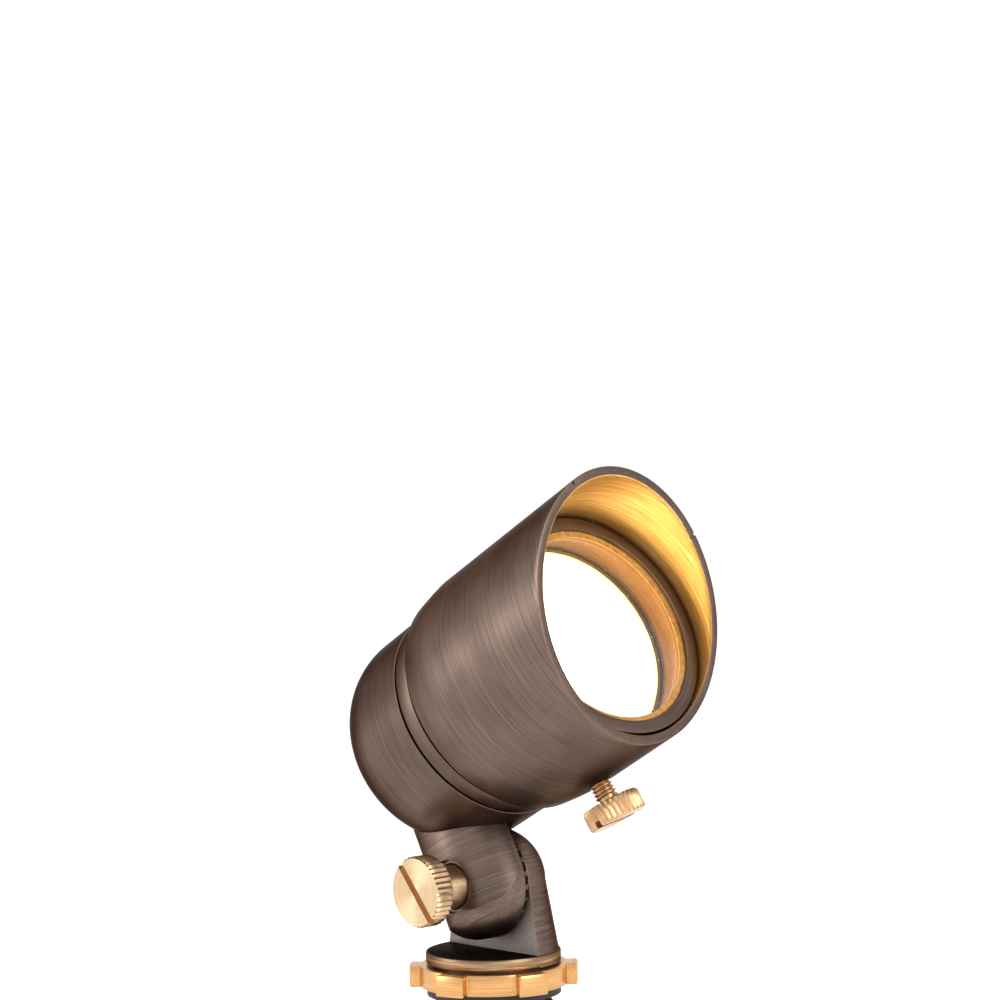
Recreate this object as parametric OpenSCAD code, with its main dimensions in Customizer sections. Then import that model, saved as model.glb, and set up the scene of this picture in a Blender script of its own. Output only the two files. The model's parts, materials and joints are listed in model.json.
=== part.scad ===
// Mini spotlight: a brass bullet head on a toothed knuckle, with a slanted glare shroud.
// The origin is on the stem's axis at the underside of the flat seal, where the face of the hub lies,
// and the head points to +X.

/* [Stem and foot] */
// Outer diameter of the stem's pipe thread
stem_d = 20.9; // [20.7:0.1:21.1]
// Length of the stem below the foot disc
stem_length = 14; // [13:0.5:18]
// Diameter of the cord's way up the stem
stem_bore_d = 10; // [9.5:0.1:10.5]
// Diameter of the foot disc
disc_d = 24; // [23.6:0.1:25]
// Thickness of the foot disc
disc_thickness = 2; // [1.8:0.1:2.4]
// Diameter over the locknut's lobes
nut_d = 30; // [29:0.5:32]
// Thickness of the locknut
nut_thickness = 3.75; // [3.5:0.05:4.5]
// Number of lobes on the locknut
nut_lobes = 6; // [5:1:8]
// Gap between the foot disc and the locknut
nut_gap = 0.4; // [0.2:0.1:0.6]
// Thickness of the flat seal under the locknut
gasket_thickness = 1.5; // [1:0.1:2]

/* [Knuckle] */
// Height of the tilt axis above the disc's underside
pivot_height = 14.2; // [14:0.1:15]
// Tilt of the head above the horizontal
tilt = 28; // [10:1:50]
// Diameter of the head's half of the knuckle
knuckle_d = 20; // [19.6:0.1:20.4]
// Step from the knuckle down to the lug's rounded top, on the radius
lug_step = 0.4; // [0.2:0.1:0.8]
// Number of teeth on each face
tooth_count = 24; // [20:2:28]
// Height of a tooth
tooth_height = 0.5; // [0.4:0.05:0.55]
// Diameter of the bolt's thread
bolt_d = 6; // [5.6:0.1:6.2]
// Step from the bolt's thread up to its shoulder, on the radius
shoulder_step = 0.8; // [0.6:0.1:1]
// Diameter of the bolt's head
bolt_head_d = 12.4; // [11.5:0.1:13]
// Thickness of the bolt's head
bolt_head_thickness = 3.7; // [3:0.1:4.5]
// Distance of the bolt's end face from the tooth plane
bolt_reach = 18; // [17:0.1:18.5]

/* [Housing] */
// Distance from the tilt axis to the underside of the bell
neck_length = 6.7; // [6.5:0.1:8]
// Step from the barrel down to the bell, on the radius
bell_step = 0.2; // [0:0.05:0.4]
// Taper of the bell towards the rear, on the radius
bell_taper = 0.1; // [0:0.1:0.5]
// Radius of the bell's rounded rear
bell_round = 14; // [13:0.1:15]
// Wall of the bell
bell_wall = 2.4; // [2:0.1:2.6]
// Distance of the joint line in front of the tilt axis
joint_place = 15; // [14.5:0.1:15.5]

/* [Barrel and lens] */
// Diameter of the lamp's rim
lamp_d = 35; // [34:0.1:36]
// How far the lens stands out past the lamp's rim, on the radius
lens_margin = 0.5; // [0.4:0.1:1]
// Thickness of the lens
lens_thickness = 1.2; // [1:0.1:2]
// Wall of the barrel round the lens
barrel_wall = 2.25; // [2:0.05:2.6]
// Length of the barrel in front of the joint line
barrel_length = 33.2; // [32:0.1:36]
// Length of the barrel's collar
collar_length = 4.4; // [4:0.1:4.6]
// Distance of the lamp's front behind the barrel's front face
lamp_setback = 8.7; // [8.5:0.1:9.5]

/* [Shroud] */
// Wall of the shroud
shroud_wall = 1.55; // [1.4:0.05:2]
// Play between the shroud and the barrel, on the radius
shroud_play = 0.45; // [0.4:0.05:0.5]
// Distance of the shroud's longest point in front of the tilt axis
shroud_top = 63.2; // [62:0.1:66]
// Slant of the shroud's front
shroud_slant = 19.5; // [15:0.5:22]
// Turn of the shroud from upright
shroud_turn = 10; // [0:1:20]
// Diameter of the thumbscrew's thread
thumb_d = 4; // [3.8:0.1:4.2]
// Diameter of the thumbscrew's head
thumb_head_d = 10.5; // [9:0.1:12]
// Thickness of the thumbscrew's head
thumb_head_thickness = 3.6; // [3:0.1:4]
// Length of bare thread between the shroud and the thumbscrew's head
thumb_stub = 3.3; // [2.5:0.1:4]
// Distance of the thumbscrew in front of the shroud's rear edge
thumb_place = 10.1; // [9.5:0.1:11]

/* [Hidden] */
$fn = 64;

running_play = 0.05;
free_play = 0.3;
seal_play = 0.03;
cut = 60;
over = 1;

bronze = "#6b5548";
brass = "#d8b06a";
pale_brass = "#dcbc84";
steel = "#b9bcc0";
black_rubber = "#242424";
silicone = "#d9d4c8";

stem_r = stem_d / 2;
foot = nut_gap + nut_thickness + gasket_thickness;
stem_end = foot - stem_length;
seal_groove = 0.5;
seal_groove_depth = 0.3;
cord_way_r = 2.8;
grommet_length = 7;
grommet_flange = 1.2;
grommet_flange_r = stem_bore_d / 2 + 1.6;
stem_gasket_width = 1.3;
lobe_angle = 22;
lobe_height = 1.8;
lobe_turn = -25.5;
disc_r = disc_d / 2;
knuckle_r = knuckle_d / 2;
lug_r = knuckle_r - lug_step;
knuckle_round = 6;
crest_gap = 0.1;
face_gap = 2 * tooth_height + crest_gap;
pocket_r = 5.4;
pocket_depth = 3.4;
tooth_inner = pocket_r + 0.8;
tooth_outer = lug_r - 0.1;
wire_bore_r = 2.6;
wire_bore_wall = 0.9;
wire_bore_y = wire_bore_r + wire_bore_wall;
wire_bore_bottom = foot - disc_thickness;
pivot_z = foot + pivot_height;
wire_bore_top = pivot_z - pocket_r + 1.8;

bolt_r = bolt_d / 2;
shoulder_r = bolt_r + shoulder_step;
spot_face = 9.1;
seat_depth = 6;
seal_thickness = 1;
washer_thickness = 0.8;
washer_top = seat_depth + seal_thickness + running_play;
shoulder_end = washer_top + washer_thickness;
seat_r = shoulder_r + free_play;
knuckle_hole_r = bolt_r + 0.25;
washer_hole_r = bolt_r + 0.1;
bolt_end_gap = 0.7;
bolt_knurls = 40;
bolt_slot_width = 1.2;
bolt_slot_depth = 1.3;
bolt_slot_turn = -50;
knurl_depth = 0.35;
knurl_edge = 0.5;

neck_top = neck_length + 6.3;
neck_bore_r = 2.8;
neck_bore_y = -4.2;
neck_bore_start = seat_r + 0.5;
lug_relief_r = lug_r + free_play + 0.1;

lamp_r = lamp_d / 2;
lens_r = lamp_r + lens_margin;
barrel_bore_r = lens_r + running_play;
barrel_r = barrel_bore_r + barrel_wall;
bell_r = barrel_r - bell_step;
bell_rear_r = bell_r - bell_taper;
bell_start = 4.5;
bell_center_r = bell_rear_r - bell_round;
axis_height = bell_r + neck_length;
cavity_floor = lug_relief_r + 1.3;
spigot_length = 6;
spigot_wall = 0.8;
lamp_play = 0.25;
spigot_inner_r = lamp_r + lamp_play;
spigot_r = spigot_inner_r + spigot_wall;
housing_bore_r = spigot_r + running_play;
housing_bore_start = joint_place - spigot_length - 0.4;
ring_section = 0.35;
ring_place = 0.5;
joint_gap = 0.2;
bell_front = joint_place - joint_gap;

collar_front = joint_place + collar_length;
collar_chamfer = 0.5;
collar_edge = 0.1;
barrel_step = 0.6;
barrel_front = joint_place + barrel_length;
lens_front = barrel_front - 0.2;
lens_back = lens_front - lens_thickness;
gasket_width = 1.05;
lens_gasket_thickness = 0.4;
lip_front = lens_back - lens_gasket_thickness;
lip_thickness = 1;
lip_r = lens_r - gasket_width - 0.1;
lip_back = lip_front - lip_thickness;
lip_cone = 2.2;
lens_chamfer = 0.4;

shroud_bore_r = barrel_r + shroud_play;
shroud_r = shroud_bore_r + shroud_wall;
shroud_rear = collar_front + 0.4;
shroud_taper = 6.2;
shroud_rear_r = shroud_r - 0.75;
shroud_edge = 0.25;
thumb_center = shroud_rear + thumb_place;
shroud_ring_place = thumb_center + 4.4;
shroud_ring_width = 1.6;
shroud_ring_depth = 0.5;
thumb_r = thumb_d / 2;
thumb_pitch = 0.7;
tip_r = thumb_r - 0.8;
tip_length = 1.2;
thumb_knurls = 34;
thumb_slot_width = 1.2;
thumb_slot_depth = 1.2;

lamp_front = barrel_front - lamp_setback;
lamp_rim_width = 1.6;
lamp_depth = 30.9;
lamp_base_r = 6.2;
lamp_base_length = 10.4;
reflector_wall = 1.2;
dish_curve = 0.55;
cover_seat = 0.6;
cover_depth = 0.2;
cover_thickness = 1.1;
capsule_r = 3.6;
capsule_length = 9;
pin_r = 0.5;
pin_spread = 2;
pin_length = 5.4;
pin_seat = 1.4;
lamp_back = lamp_front - lamp_depth;

socket_r = 7.6;
socket_length = 9.4;
socket_front = lamp_back - 0.4;
socket_back = socket_front - socket_length;
contact_r = 1.05;
contact_depth = 2.6;
contact_front = socket_front - 0.6;
plate_thickness = 0.8;
plate_width = 14;
plate_length = 27.2;
plate_hole_r = 3.4;
plate_back = socket_back - plate_thickness;
socket_screw_r = 1.45;
socket_screw_head_r = 2.2;
socket_screw_head = 1.8;
socket_screw_end = plate_back - 1.2;
socket_screw_spread = 5.2;
bracket_screw_r = 1.2;
bracket_screw_head_r = 2.4;
bracket_screw_head = 1.6;
bracket_screw_length = 4.5;
bracket_screw_spread = 11.2;
boss_r = 2.8;
screw_slot_width = 0.7;
screw_slot_depth = 0.8;
lead_r = 0.8;
lead_bend = 3.2;
lead_back = plate_back - lead_bend;
lead_drop = 9;
lead_turn = axis_height - lead_drop;
splice_r = 1.2;
splice_spread = 1.3;
splice_length = 7.4;
splice_bottom = neck_bore_start + 0.8;
splice_top = splice_bottom + splice_length;
lead_join = splice_top + lead_r * 2;
neck_bore_end = cavity_floor + 5.5;

// Head frame: the origin on the tilt axis, X along the lamp's axis, Z away from the knuckle
module in_head_frame() {
    translate([0, 0, pivot_z]) rotate([0, -tilt, 0]) children();
}

// Lamp frame: Z along the lamp's axis from above the tilt axis, X towards the knuckle
module on_lamp_axis() {
    in_head_frame() translate([0, 0, axis_height]) rotate([0, 90, 0]) children();
}

// Shroud frame: the lamp frame turned with the shroud, so that X is the thumbscrew's way out
module in_shroud_frame() {
    on_lamp_axis() rotate([0, 0, shroud_turn]) children();
}

// Points a solid made along Z towards -Y
module towards_bolt_head() {
    rotate([90, 0, 0]) children();
}

module ring(outer, inner, height) {
    rotate_extrude() translate([inner, 0]) square([outer - inner, height]);
}

module o_ring(center_r, section_r) {
    rotate_extrude() translate([center_r, 0]) circle(section_r);
}

// Screwdriver slot across a head of radius r whose top is at Z = 0
module slot(r, width, depth) {
    translate([-width / 2, -r - over, -depth]) cube([width, 2 * (r + over), depth + over]);
}

// Straight knurl: a star of small ridges round a disc
module knurled_disc(r, depth, count, height) {
    points = [for (i = [0 : 2 * count - 1])
        let (a = i * 180 / count, q = i % 2 == 0 ? r : r - depth)
        [q * cos(a), q * sin(a)]];
    linear_extrude(height) polygon(points);
}

// Turned head: the knurl with both edges taken off at an angle
module knurled_head(r, count, height) {
    inner = r - knurl_edge;
    outer = r + knurl_edge;
    rise = 2 * knurl_edge;
    intersection() {
        knurled_disc(r, knurl_depth, count, height);
        rotate_extrude()
            polygon([[0, 0], [inner, 0], [outer, rise], [outer, height - rise], [inner, height],
                [0, height]]);
    }
}

// Thread drawn as ridges side by side, from the flat end at Z = 0
module threaded_rod(r, pitch, length) {
    turns = floor(length / pitch);
    root = r - 0.55 * pitch;
    crest = pitch / 4;
    ridges = [for (i = [0 : turns - 1]) for (p = [[root, 0], [r, pitch / 2 - crest / 2],
        [r, pitch / 2 + crest / 2]]) [p[0], p[1] + i * pitch]];
    rotate_extrude() polygon(concat([[0, 0]], ridges, [[root, turns * pitch], [root, length], [0, length]]));
}

// One ring of radial teeth that stand up from Z = 0
module tooth_ring(count, height) {
    width = 0.62 * PI * tooth_outer / count;
    for (i = [0 : count - 1])
        rotate([0, 0, i * 360 / count])
            translate([tooth_inner, 0, 0])
                rotate([90, 0, 90])
                    linear_extrude(tooth_outer - tooth_inner)
                        polygon([[-width, 0], [width, 0], [width / 3, height], [-width / 3, height]]);
}

module lug() {
    intersection() {
        union() {
            translate([0, 0, foot]) cylinder(h = pivot_height, r1 = disc_r, r2 = lug_r);
            translate([0, 0, pivot_z]) sphere(lug_r);
        }
        translate([-cut, 0, foot]) cube([2 * cut, cut, cut]);
    }
}

module mounting_bracket() {
    color(bronze)
    difference() {
        union() {
            translate([0, 0, stem_end]) cylinder(h = stem_length, r = stem_r);
            translate([0, 0, foot]) cylinder(h = disc_thickness, r = disc_r);
            lug();
            translate([0, 0, pivot_z]) towards_bolt_head()
                rotate([0, 0, tilt]) tooth_ring(tooth_count, tooth_height);
        }
        translate([0, 0, stem_end - over]) cylinder(h = stem_length + 0.5, r = stem_bore_d / 2);
        ring(stem_r + over, stem_r - seal_groove_depth, seal_groove);
        translate([0, wire_bore_y, wire_bore_bottom])
            cylinder(h = wire_bore_top - wire_bore_bottom, r = wire_bore_r);
        translate([0, pocket_depth, pivot_z]) towards_bolt_head()
            cylinder(h = pocket_depth + over, r = pocket_r);
        translate([0, cut, pivot_z]) towards_bolt_head() cylinder(h = cut, r = bolt_r + running_play);
    }
}

module stem_grommet() {
    color(black_rubber)
    translate([0, 0, stem_end - grommet_flange])
        difference() {
            union() {
                cylinder(h = grommet_flange, r = grommet_flange_r);
                cylinder(h = grommet_length, r = stem_bore_d / 2);
            }
            translate([0, 0, -over]) cylinder(h = grommet_length + 2 * over, r = cord_way_r);
        }
}

module locknut() {
    color(brass)
    translate([0, 0, gasket_thickness])
        difference() {
            union() {
                cylinder(h = nut_thickness, r = nut_d / 2 - lobe_height);
                for (i = [0 : nut_lobes - 1])
                    rotate([0, 0, i * 360 / nut_lobes + lobe_turn])
                        rotate_extrude(angle = lobe_angle) square([nut_d / 2, nut_thickness]);
            }
            translate([0, 0, -over]) cylinder(h = nut_thickness + 2 * over, r = stem_r + running_play);
        }
}

module stem_gasket() {
    color(black_rubber)
    ring(stem_r + free_play / 2 + stem_gasket_width, stem_r + free_play / 2, gasket_thickness);
}

module knuckle_bolt() {
    head_back = bolt_reach - bolt_head_thickness;
    thread_end = lug_r - bolt_end_gap;
    color(pale_brass)
    translate([0, 0, pivot_z]) towards_bolt_head()
        difference() {
            union() {
                translate([0, 0, head_back])
                    knurled_head(bolt_head_d / 2, bolt_knurls, bolt_head_thickness);
                translate([0, 0, shoulder_end]) cylinder(h = head_back - shoulder_end, r = shoulder_r);
                translate([0, 0, -thread_end]) cylinder(h = thread_end + shoulder_end, r = bolt_r);
            }
            translate([0, 0, bolt_reach]) rotate([0, 0, bolt_slot_turn - 90])
                slot(bolt_head_d / 2, bolt_slot_width, bolt_slot_depth);
        }
}

module knuckle_washer() {
    color(steel)
    translate([0, -washer_top, pivot_z]) towards_bolt_head()
        ring(shoulder_r, washer_hole_r, washer_thickness);
}

module bell_outline() {
    intersection() {
        translate([bell_center_r, bell_start]) circle(bell_round);
        translate([0, bell_start - bell_round]) square([cut, bell_round]);
    }
    translate([0, bell_start - bell_round]) square([bell_center_r, bell_round]);
    polygon([[0, bell_start], [bell_rear_r, bell_start], [bell_r, bell_front], [0, bell_front]]);
}

module cavity_outline() {
    round = bell_round - bell_wall;
    intersection() {
        translate([bell_center_r, bell_start]) circle(round);
        translate([0, bell_start - round]) square([cut, round]);
    }
    translate([0, bell_start - round]) square([bell_center_r, round]);
    translate([0, bell_start]) square([bell_center_r + round, housing_bore_start - bell_start + 0.1]);
}

module bell_cavity() {
    difference() {
        rotate_extrude() cavity_outline();
        translate([axis_height - cavity_floor, -cut, -cut]) cube(2 * cut);
    }
    translate([0, 0, housing_bore_start]) cylinder(h = spigot_length + 2 * over, r = housing_bore_r);
    translate([0, 0, bell_front - 2 * ring_place - 0.1])
        cylinder(h = 2 * ring_place + over, r = housing_bore_r + 2 * ring_section);
}

module knuckle_outline() {
    intersection() {
        union() {
            square([knuckle_r, knuckle_r - knuckle_round]);
            square([knuckle_r - knuckle_round, knuckle_r]);
            translate([knuckle_r - knuckle_round, knuckle_r - knuckle_round]) circle(knuckle_round);
        }
        square(knuckle_r);
    }
}

// Round neck with a domed top inside the bell
module neck_outline() {
    translate([0, -knuckle_r]) square([knuckle_r, knuckle_r + neck_top]);
    translate([0, neck_top])
        intersection() {
            circle(knuckle_r);
            square(knuckle_r);
        }
}

// Below the bell the neck is cut back to its half of the knuckle
module neck() {
    difference() {
        intersection() {
            rotate_extrude() neck_outline();
            union() {
                towards_bolt_head() rotate_extrude() knuckle_outline();
                translate([-cut, -cut, 0]) cube([2 * cut, 2 * cut, cut]);
            }
        }
        translate([-cut, -face_gap, -cut]) cube([2 * cut, cut, cut + cavity_floor]);
    }
    translate([0, -face_gap, 0]) rotate([-90, 0, 0]) tooth_ring(tooth_count, tooth_height);
}

module rear_housing() {
    color(bronze)
    difference() {
        union() {
            on_lamp_axis() difference() {
                rotate_extrude() bell_outline();
                bell_cavity();
            }
            difference() {
                in_head_frame() neck();
                on_lamp_axis() bell_cavity();
            }
            on_lamp_axis() intersection() {
                rotate_extrude() bell_outline();
                for (side = [-1, 1])
                    translate([0, side * bracket_screw_spread, -cut])
                        cylinder(h = cut + plate_back, r = boss_r);
            }
        }
        on_lamp_axis() for (side = [-1, 1])
            translate([0, side * bracket_screw_spread, plate_back - bracket_screw_length])
                cylinder(h = bracket_screw_length + over, r = bracket_screw_r + seal_play);
        in_head_frame() {
            intersection() {
                sphere(lug_relief_r);
                translate([-cut, -face_gap, -cut]) cube(2 * cut);
            }
            translate([0, neck_bore_y, neck_bore_start])
                cylinder(h = neck_bore_end - neck_bore_start, r = neck_bore_r);
            towards_bolt_head() {
                cylinder(h = pocket_depth + face_gap, r = pocket_r);
                translate([0, 0, seat_depth]) cylinder(h = cut, r = seat_r);
                translate([0, 0, spot_face]) cylinder(h = cut, r = seat_r + 0.6);
                cylinder(h = cut, r = knuckle_hole_r);
            }
        }
    }
}

module bolt_seal() {
    color(black_rubber)
    translate([0, -seat_depth - seal_thickness / 2, pivot_z]) towards_bolt_head()
        o_ring(seat_r - seal_thickness / 2, seal_thickness / 2);
}

module lamp_socket() {
    color("#efe9dd")
    on_lamp_axis()
        difference() {
            translate([0, 0, socket_back]) cylinder(h = socket_front - socket_back, r = socket_r);
            for (side = [-1, 1]) {
                translate([0, side * pin_spread, socket_back - over])
                    cylinder(h = cut, r = contact_r + seal_play);
                translate([side * socket_screw_spread, 0, socket_back - over])
                    cylinder(h = cut, r = socket_screw_r + 2 * running_play);
                translate([side * socket_screw_spread, 0, socket_front - socket_screw_head])
                    cylinder(h = cut, r = socket_screw_head_r + 2 * running_play);
            }
        }
}

module socket_contacts() {
    color(brass)
    on_lamp_axis() for (side = [-1, 1])
        translate([0, side * pin_spread, socket_back])
            difference() {
                cylinder(h = contact_front - socket_back, r = contact_r);
                translate([0, 0, contact_depth]) cylinder(h = cut, r = pin_r + running_play);
            }
}

module socket_bracket() {
    color(steel)
    on_lamp_axis()
        difference() {
            translate([-plate_width / 2, -plate_length / 2, plate_back])
                cube([plate_width, plate_length, plate_thickness]);
            translate([0, 0, plate_back - over]) {
                cylinder(h = plate_thickness + 2 * over, r = plate_hole_r);
                for (side = [-1, 1]) {
                    translate([0, side * bracket_screw_spread, 0])
                        cylinder(h = plate_thickness + 2 * over, r = bracket_screw_r + 2 * running_play);
                    translate([side * socket_screw_spread, 0, 0])
                        cylinder(h = plate_thickness + 2 * over, r = socket_screw_r + seal_play);
                }
            }
        }
}

module socket_screws() {
    color(steel)
    on_lamp_axis() for (side = [-1, 1])
        translate([side * socket_screw_spread, 0, 0])
            difference() {
                union() {
                    translate([0, 0, socket_front - socket_screw_head])
                        cylinder(h = socket_screw_head, r = socket_screw_head_r);
                    translate([0, 0, socket_screw_end])
                        cylinder(h = socket_front - over - socket_screw_end, r = socket_screw_r);
                }
                translate([0, 0, socket_front])
                    slot(socket_screw_head_r, screw_slot_width, screw_slot_depth);
            }
}

module bracket_screws() {
    color(steel)
    on_lamp_axis() for (side = [-1, 1])
        translate([0, side * bracket_screw_spread, socket_back])
            difference() {
                union() {
                    cylinder(h = bracket_screw_head, r = bracket_screw_head_r);
                    translate([0, 0, -bracket_screw_length])
                        cylinder(h = bracket_screw_length, r = bracket_screw_r);
                }
                translate([0, 0, bracket_screw_head])
                    slot(bracket_screw_head_r, screw_slot_width, screw_slot_depth);
            }
}

// Wire along a few points: a straight tube for each stretch and a fuller ball at each bend
module wire(points, r) {
    for (i = [0 : len(points) - 2]) {
        run = points[i + 1] - points[i];
        translate(points[i])
            rotate([0, acos(run[2] / norm(run)), atan2(run[1], run[0])])
                cylinder(h = norm(run), r = r);
    }
    for (i = [1 : len(points) - 2]) translate(points[i]) sphere(1.2 * r);
}

// Lead from its contact, back and down to the splice in the neck, in the head frame
module lead(side) {
    color(silicone)
    in_head_frame()
        wire([[socket_back, side * pin_spread, axis_height], [lead_back, side * pin_spread, axis_height],
            [lead_back, side * pin_spread, lead_turn], [side * splice_spread, neck_bore_y, lead_join],
            [side * splice_spread, neck_bore_y, splice_top]], lead_r);
}

module lead_a() {
    lead(1);
}

module lead_b() {
    lead(-1);
}

module lead_splices() {
    color("#a33327")
    in_head_frame() for (side = [-1, 1])
        translate([side * splice_spread, neck_bore_y, splice_bottom])
            cylinder(h = splice_top - splice_bottom, r = splice_r);
}

// Reflector outline between its neck and its rim, set in by the wall for the inside
function dish(inset) = [for (i = [0 : 8])
    let (t = i / 8, z = lamp_back + lamp_base_length + t * (lamp_depth - lamp_base_length - lamp_rim_width))
    [lamp_base_r - inset + (lamp_r - lamp_base_r) * pow(t, dish_curve), z]];

module lamp_reflector() {
    seat_z = lamp_front - lamp_rim_width + 0.2;
    seat_wall_r = lamp_r - cover_seat;
    color("#e9edf2")
    on_lamp_axis()
        difference() {
            rotate_extrude() polygon(concat([[0, lamp_back], [lamp_base_r, lamp_back]], dish(0),
                [[lamp_r, lamp_front], [0, lamp_front]]));
            rotate_extrude() polygon(concat([[0, lamp_back + lamp_base_length]], dish(reflector_wall),
                [[seat_wall_r, seat_z], [seat_wall_r, lamp_front + over], [0, lamp_front + over]]));
            for (side = [-1, 1])
                translate([0, side * pin_spread, lamp_back - over])
                    cylinder(h = pin_seat + over, r = pin_r);
        }
}

module lamp_cover() {
    color("#fff3d6")
    on_lamp_axis() translate([0, 0, lamp_front - cover_depth - cover_thickness])
        cylinder(h = cover_thickness, r = lamp_r - cover_seat - running_play);
}

module lamp_capsule() {
    color("#fff6e0")
    on_lamp_axis() translate([0, 0, lamp_back + lamp_base_length]) {
        cylinder(h = capsule_length, r = capsule_r);
        translate([0, 0, capsule_length]) sphere(capsule_r);
    }
}

module lamp_pins() {
    color(steel)
    on_lamp_axis() for (side = [-1, 1])
        translate([0, side * pin_spread, lamp_back - pin_length])
            cylinder(h = pin_length + pin_seat, r = pin_r);
}

module barrel_o_ring() {
    color(black_rubber)
    on_lamp_axis() translate([0, 0, bell_front - ring_place])
        o_ring(housing_bore_r + ring_section, ring_section);
}

module front_barrel() {
    color(bronze)
    on_lamp_axis() rotate_extrude()
        polygon([[spigot_inner_r, joint_place - spigot_length], [spigot_r, joint_place - spigot_length],
            [spigot_r, joint_place], [bell_r, joint_place], [bell_r, collar_front - collar_chamfer],
            [bell_r - collar_edge, collar_front], [barrel_r, collar_front + barrel_step], [barrel_r, barrel_front],
            [barrel_bore_r, barrel_front], [barrel_bore_r, lip_front], [lip_r, lip_front],
            [lip_r, lip_back], [spigot_inner_r, lip_back - lip_cone]]);
}

module lens() {
    color("#ffe9b8", 0.4)
    on_lamp_axis() rotate_extrude()
        polygon([[0, lens_back], [lens_r, lens_back], [lens_r, lens_front - lens_chamfer],
            [lens_r - lens_chamfer, lens_front], [0, lens_front]]);
}

module lens_gasket() {
    color("#c98f3c")
    on_lamp_axis() translate([0, 0, lip_front]) ring(lens_r, lens_r - gasket_width, lens_gasket_thickness);
}

module shroud_ring() {
    color(black_rubber)
    on_lamp_axis() translate([0, 0, shroud_ring_place + running_play])
        ring(shroud_bore_r + shroud_ring_depth - running_play, barrel_r + seal_play,
            shroud_ring_width - 2 * running_play);
}

module shroud() {
    color(bronze)
    in_shroud_frame()
        difference() {
            rotate_extrude() polygon([[shroud_bore_r, shroud_rear], [shroud_rear_r, shroud_rear],
                [shroud_rear_r + shroud_edge, shroud_rear + 2 * shroud_edge],
                [shroud_r, shroud_rear + shroud_taper], [shroud_r, shroud_top + over],
                [shroud_bore_r, shroud_top + over]]);
            translate([0, 0, shroud_top - shroud_r * tan(shroud_slant)])
                rotate([0, shroud_slant, 0]) translate([-cut, -cut, 0]) cube(2 * cut);
            translate([0, 0, shroud_ring_place])
                ring(shroud_bore_r + shroud_ring_depth, barrel_r, shroud_ring_width);
            translate([0, 0, thumb_center]) rotate([0, 90, 0]) cylinder(h = cut, r = thumb_r + running_play);
        }
}

module thumbscrew_tip() {
    color("#eeeae0")
    in_shroud_frame() translate([barrel_r + seal_play, 0, thumb_center]) rotate([0, 90, 0])
        cylinder(h = tip_length, r = tip_r);
}

module thumbscrew() {
    start = shroud_bore_r + running_play;
    head_start = shroud_r + thumb_stub;
    color(pale_brass)
    in_shroud_frame() translate([0, 0, thumb_center]) rotate([0, 90, 0])
        difference() {
            union() {
                translate([0, 0, start]) threaded_rod(thumb_r, thumb_pitch, head_start - start);
                translate([0, 0, head_start])
                    knurled_head(thumb_head_d / 2, thumb_knurls, thumb_head_thickness);
            }
            translate([0, 0, barrel_r]) cylinder(h = tip_length + running_play, r = tip_r + running_play);
            translate([0, 0, head_start + thumb_head_thickness])
                slot(thumb_head_d / 2, thumb_slot_width, thumb_slot_depth);
        }
}

mounting_bracket();
stem_grommet();
locknut();
stem_gasket();
knuckle_bolt();
knuckle_washer();
rear_housing();
bolt_seal();
lamp_socket();
socket_contacts();
socket_bracket();
socket_screws();
bracket_screws();
lead_a();
lead_b();
lead_splices();
lamp_reflector();
lamp_cover();
lamp_capsule();
lamp_pins();
barrel_o_ring();
front_barrel();
lens();
lens_gasket();
shroud_ring();
shroud();
thumbscrew_tip();
thumbscrew();
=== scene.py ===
import json
import math

import bmesh
import bpy
from mathutils import Matrix, Vector


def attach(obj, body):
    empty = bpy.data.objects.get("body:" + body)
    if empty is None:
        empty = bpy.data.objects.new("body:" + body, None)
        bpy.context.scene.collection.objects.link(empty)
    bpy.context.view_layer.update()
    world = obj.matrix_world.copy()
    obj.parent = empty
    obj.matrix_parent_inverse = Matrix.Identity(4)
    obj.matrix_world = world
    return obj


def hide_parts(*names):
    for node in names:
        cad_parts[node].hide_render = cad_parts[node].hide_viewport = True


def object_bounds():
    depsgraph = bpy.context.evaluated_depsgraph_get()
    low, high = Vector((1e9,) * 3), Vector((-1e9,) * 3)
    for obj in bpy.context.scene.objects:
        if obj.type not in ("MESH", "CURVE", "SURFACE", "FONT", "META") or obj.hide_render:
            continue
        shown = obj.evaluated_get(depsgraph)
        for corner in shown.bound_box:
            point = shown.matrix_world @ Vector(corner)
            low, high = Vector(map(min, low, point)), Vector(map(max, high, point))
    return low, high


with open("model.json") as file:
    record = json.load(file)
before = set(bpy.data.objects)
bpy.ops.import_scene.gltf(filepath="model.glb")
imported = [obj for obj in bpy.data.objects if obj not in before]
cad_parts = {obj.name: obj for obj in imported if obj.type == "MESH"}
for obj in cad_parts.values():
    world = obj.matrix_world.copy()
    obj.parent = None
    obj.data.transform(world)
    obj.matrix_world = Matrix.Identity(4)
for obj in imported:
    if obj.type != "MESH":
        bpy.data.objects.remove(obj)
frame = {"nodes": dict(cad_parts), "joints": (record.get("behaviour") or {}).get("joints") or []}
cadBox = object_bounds()
print("frame: the packed model is in")

mm = 0.001
jointNamed = {joint["name"]: joint for joint in frame["joints"]}


def axesAt(origin, xAxis, zAxis):
    # A place in mm whose X and Z point along the two directions
    yAxis = zAxis.cross(xAxis)
    place = Matrix((xAxis, yAxis, zAxis)).transposed().to_4x4()
    place.translation = origin
    return place


def placeOf(jointName):
    return Vector(jointNamed[jointName].get("pos_m", (0, 0, 0))) / mm


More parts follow.
